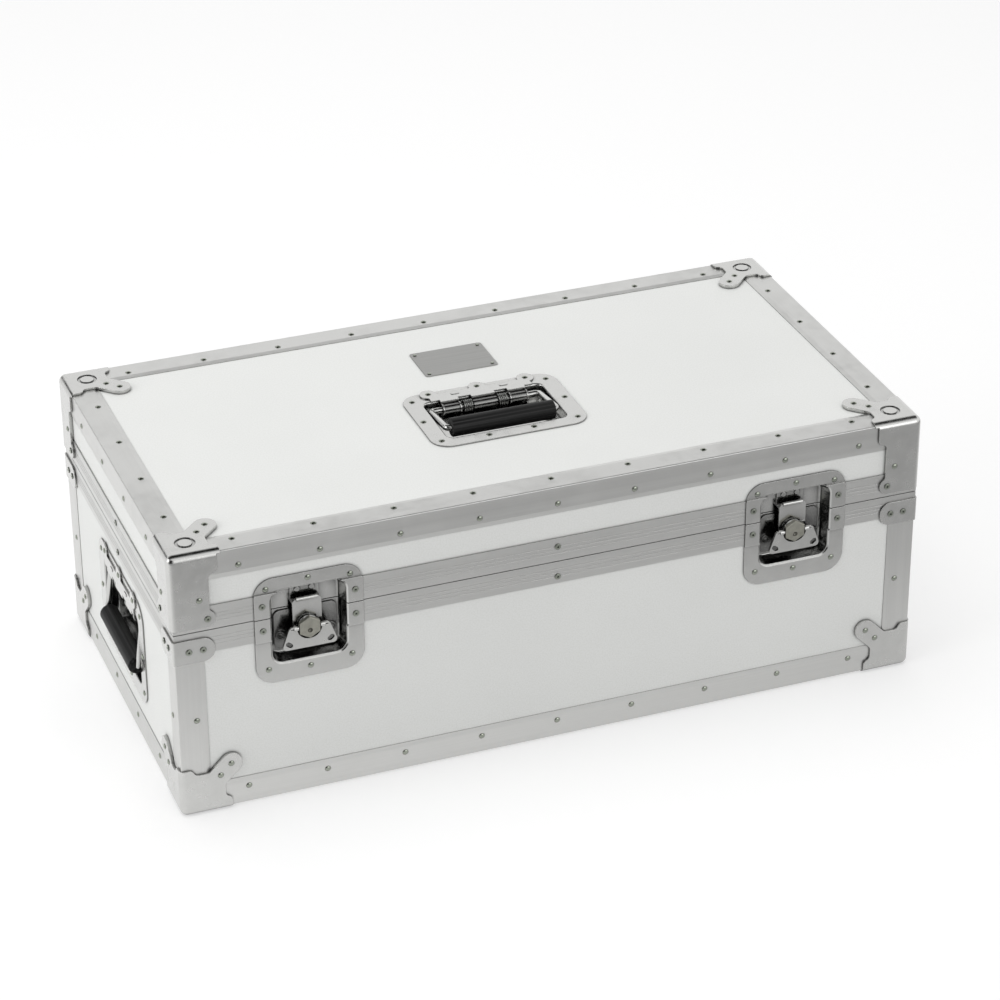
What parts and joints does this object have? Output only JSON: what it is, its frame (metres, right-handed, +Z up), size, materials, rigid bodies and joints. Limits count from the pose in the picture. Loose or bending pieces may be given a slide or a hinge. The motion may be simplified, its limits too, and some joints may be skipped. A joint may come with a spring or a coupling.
{
  "type": "flight case",
  "caption": "White panelled flight case with aluminium edging, steel corner caps, recessed butterfly latches, recessed sprung handles, a hinged lid and foam pockets.",
  "frame": {"origin": "middle of the case in plan, at the height of the corner caps' undersides, on which it stands", "axes": "+X along the case to the right seen from the front, +Y from the latches to the hinges, +Z up"},
  "size_m": [0.821, 0.431, 0.3064],
  "materials": {
    "laminated_panel": "white laminate on plywood, satin",
    "aluminium_edging": "extruded, lengthwise satin",
    "plated_steel": "pressed and bright plated",
    "hexagon_steel": "turned, dull",
    "spring_steel": "drawn wire",
    "rivets": "plated, bright",
    "name_plate": "brushed, bare",
    "grip_rubber": "moulded, satin",
    "foam": "cut polyether foam"
  },
  "bodies": {
    "base": {"base_floor_panel": "laminated_panel", "base_front_panel": "laminated_panel", "base_back_panel": "laminated_panel", "base_left_panel": "laminated_panel", "base_right_panel": "laminated_panel", "base_bottom_edges": "aluminium_edging", "base_corner_posts": "aluminium_edging", "base_closure_rails": "aluminium_edging", "base_corner_caps": "plated_steel", "base_corner_braces": "plated_steel", "base_rivets": "rivets", "left_latch_lower_dish": "plated_steel", "right_latch_lower_dish": "plated_steel", "left_latch_mechanism_plate": "plated_steel", "right_latch_mechanism_plate": "plated_steel", "left_handle_dish": "plated_steel", "right_handle_dish": "plated_steel", "side_handle_hinge_plates": "plated_steel", "side_handle_springs": "spring_steel", "hinge_base_leaves": "plated_steel", "hinge_pins": "spring_steel", "foam_floor": "foam", "foam_wall_linings": "foam", "foam_long_divider": "foam", "foam_cross_dividers": "foam"},
    "lid": {"lid_top_panel": "laminated_panel", "lid_front_panel": "laminated_panel", "lid_back_panel": "laminated_panel", "lid_left_panel": "laminated_panel", "lid_right_panel": "laminated_panel", "lid_top_edges": "aluminium_edging", "lid_corner_posts": "aluminium_edging", "lid_closure_rails": "aluminium_edging", "lid_corner_caps": "plated_steel", "lid_rivets": "rivets", "left_latch_upper_dish": "plated_steel", "right_latch_upper_dish": "plated_steel", "left_latch_keeper": "plated_steel", "right_latch_keeper": "plated_steel", "top_handle_dish": "plated_steel", "top_handle_hinge_plate": "plated_steel", "top_handle_springs": "spring_steel", "hinge_lid_leaves": "plated_steel", "name_plate": "name_plate", "name_plate_screws": "rivets", "foam_lid_pad": "foam"},
    "left_latch_spindle": {"left_latch_spindle": "hexagon_steel", "left_latch_wing_spring": "spring_steel"},
    "left_latch_wing": {"left_latch_wing": "plated_steel"},
    "left_latch_hook": {"left_latch_hook": "plated_steel"},
    "right_latch_spindle": {"right_latch_spindle": "hexagon_steel", "right_latch_wing_spring": "spring_steel"},
    "right_latch_wing": {"right_latch_wing": "plated_steel"},
    "right_latch_hook": {"right_latch_hook": "plated_steel"},
    "left_handle": {"left_handle_bail": "plated_steel", "left_handle_grip": "grip_rubber"},
    "right_handle": {"right_handle_bail": "plated_steel", "right_handle_grip": "grip_rubber"},
    "top_handle": {"top_handle_bail": "plated_steel", "top_handle_grip": "grip_rubber"}
  },
  "joints": [
    {"name": "lid_hinge", "type": "hinge", "parent": "base", "child": "lid", "pos_m": [0, 0.2124, 0.2105], "axis": [-1, 0, 0], "range_deg": [0, 100]},
    {"name": "left_latch_turn", "type": "hinge", "parent": "base", "child": "left_latch_spindle", "pos_m": [-0.262, -0.208, 0.192], "axis": [0, 1, 0], "range_deg": [0, 180]},
    {"name": "left_wing_fold", "type": "hinge", "parent": "left_latch_spindle", "child": "left_latch_wing", "pos_m": [-0.262, -0.2077, 0.192], "axis": [-1, 0, 0], "range_deg": [0, 90]},
    {"name": "left_hook_drive", "type": "hinge", "parent": "left_latch_spindle", "child": "left_latch_hook", "pos_m": [-0.262, -0.208, 0.188], "axis": [0, 1, 0], "range_deg": [-180, 0]},
    {"name": "right_latch_turn", "type": "hinge", "parent": "base", "child": "right_latch_spindle", "pos_m": [0.262, -0.208, 0.192], "axis": [0, 1, 0], "range_deg": [0, 180]},
    {"name": "right_wing_fold", "type": "hinge", "parent": "right_latch_spindle", "child": "right_latch_wing", "pos_m": [0.262, -0.2077, 0.192], "axis": [-1, 0, 0], "range_deg": [0, 90]},
    {"name": "right_hook_drive", "type": "hinge", "parent": "right_latch_spindle", "child": "right_latch_hook", "pos_m": [0.262, -0.208, 0.188], "axis": [0, 1, 0], "range_deg": [-180, 0]},
    {"name": "left_handle_swing", "type": "hinge", "parent": "base", "child": "left_handle", "pos_m": [-0.3935, 0, 0.142], "axis": [0, 1, 0], "range_deg": [0, 85], "stiffness_Nm_per_rad": 0.4, "springref_deg": -11.46},
    {"name": "right_handle_swing", "type": "hinge", "parent": "base", "child": "right_handle", "pos_m": [0.3935, 0, 0.142], "axis": [0, -1, 0], "range_deg": [0, 85], "stiffness_Nm_per_rad": 0.4, "springref_deg": -11.46},
    {"name": "top_handle_swing", "type": "hinge", "parent": "lid", "child": "top_handle", "pos_m": [0, -0.0005, 0.2894], "axis": [-1, 0, 0], "range_deg": [0, 85], "stiffness_Nm_per_rad": 0.4, "springref_deg": -11.46}
  ],
  "couplings": [
    {"joint": "left_hook_drive", "follows": "left_latch_turn", "ratio": -1},
    {"joint": "right_hook_drive", "follows": "right_latch_turn", "ratio": -1}
  ]
}
